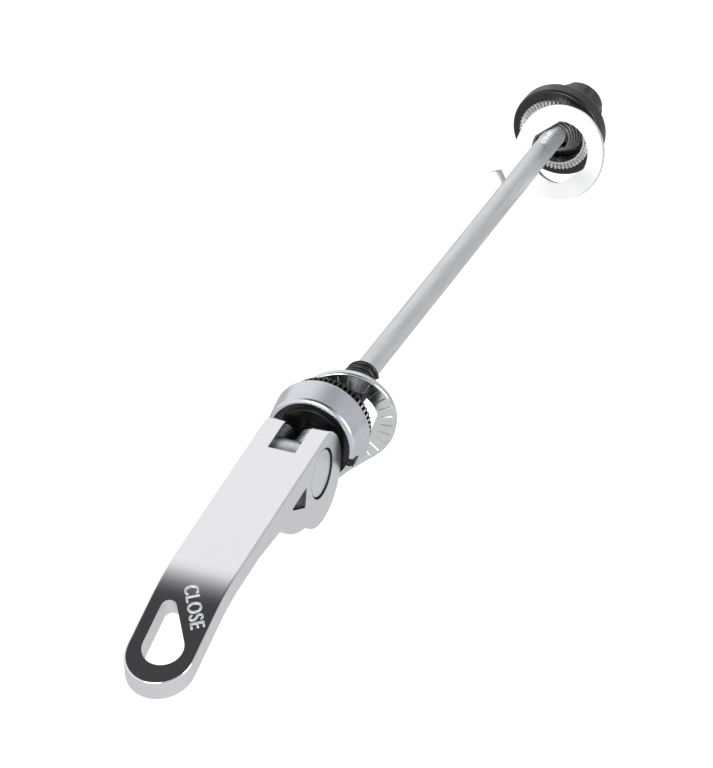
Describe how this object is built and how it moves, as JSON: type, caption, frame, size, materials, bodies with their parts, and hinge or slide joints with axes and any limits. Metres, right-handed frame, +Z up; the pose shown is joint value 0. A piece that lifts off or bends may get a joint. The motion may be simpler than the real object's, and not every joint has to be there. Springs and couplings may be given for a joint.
{
  "type": "quick release skewer",
  "caption": "Cam lever skewer for a bicycle hub: a slim rod with a chromed lever and clamp cup at one end, an adjusting nut at the other, loose tab washers and conical springs.",
  "frame": {"origin": "on the rod's axis, in the plane of the clamp teeth at the lever end", "axes": "+Y along the rod from lever to nut, X along the lever's pivot, +Z up out of the lever's outer face"},
  "size_m": [0.0267, 0.2432, 0.0308],
  "materials": {
    "lever_chrome": "bright polished plating on a cast lever",
    "cup_chrome": "satin plating",
    "washer_chrome": "bright plating on pressed steel",
    "zinc_plate": "zinc-plated drawn steel with faint streaks",
    "ring_steel": "bare hardened steel",
    "black_oxide": "black oxide on spring wire and hardened steel",
    "black_plastic": "moulded, slightly glossy",
    "nut_plastic": "moulded, fine-grained"
  },
  "bodies": {
    "skewer": {"skewer_rod": "zinc_plate", "barrel_pin": "zinc_plate"},
    "lever_arm": {"lever": "lever_chrome"},
    "clamp_head": {"clamp_cup": "cup_chrome", "cam_saddle": "black_plastic", "cup_ring": "black_oxide", "lever_washer": "washer_chrome", "lever_spring": "black_oxide"},
    "nut_carriage": {"tab_washer": "washer_chrome", "nut_spring": "ring_steel"},
    "adjusting_nut": {"nut_shell": "nut_plastic", "nut_ring": "ring_steel", "thread_insert": "zinc_plate"}
  },
  "joints": [
    {"name": "lever_pivot", "type": "hinge", "parent": "skewer", "child": "lever_arm", "pos_m": [0, -0.0202, 0], "axis": [1, 0, 0], "range_deg": [-82, 82]},
    {"name": "head_slide", "type": "slide", "parent": "skewer", "child": "clamp_head", "axis": [0, 1, 0], "range_m": [-0.0018, 0.0018]},
    {"name": "nut_travel", "type": "slide", "parent": "skewer", "child": "nut_carriage", "axis": [0, 1, 0], "range_m": [-0.004, 0.006]},
    {"name": "nut_turn", "type": "hinge", "parent": "nut_carriage", "child": "adjusting_nut", "pos_m": [0, 0.1352, 0], "axis": [0, 1, 0], "range_deg": [-1800, 2700]}
  ],
  "couplings": [
    {"joint": "head_slide", "follows": "lever_pivot", "m_per_rad": 0.001245},
    {"joint": "nut_travel", "follows": "nut_turn", "m_per_rad": 0.0001273}
  ]
}
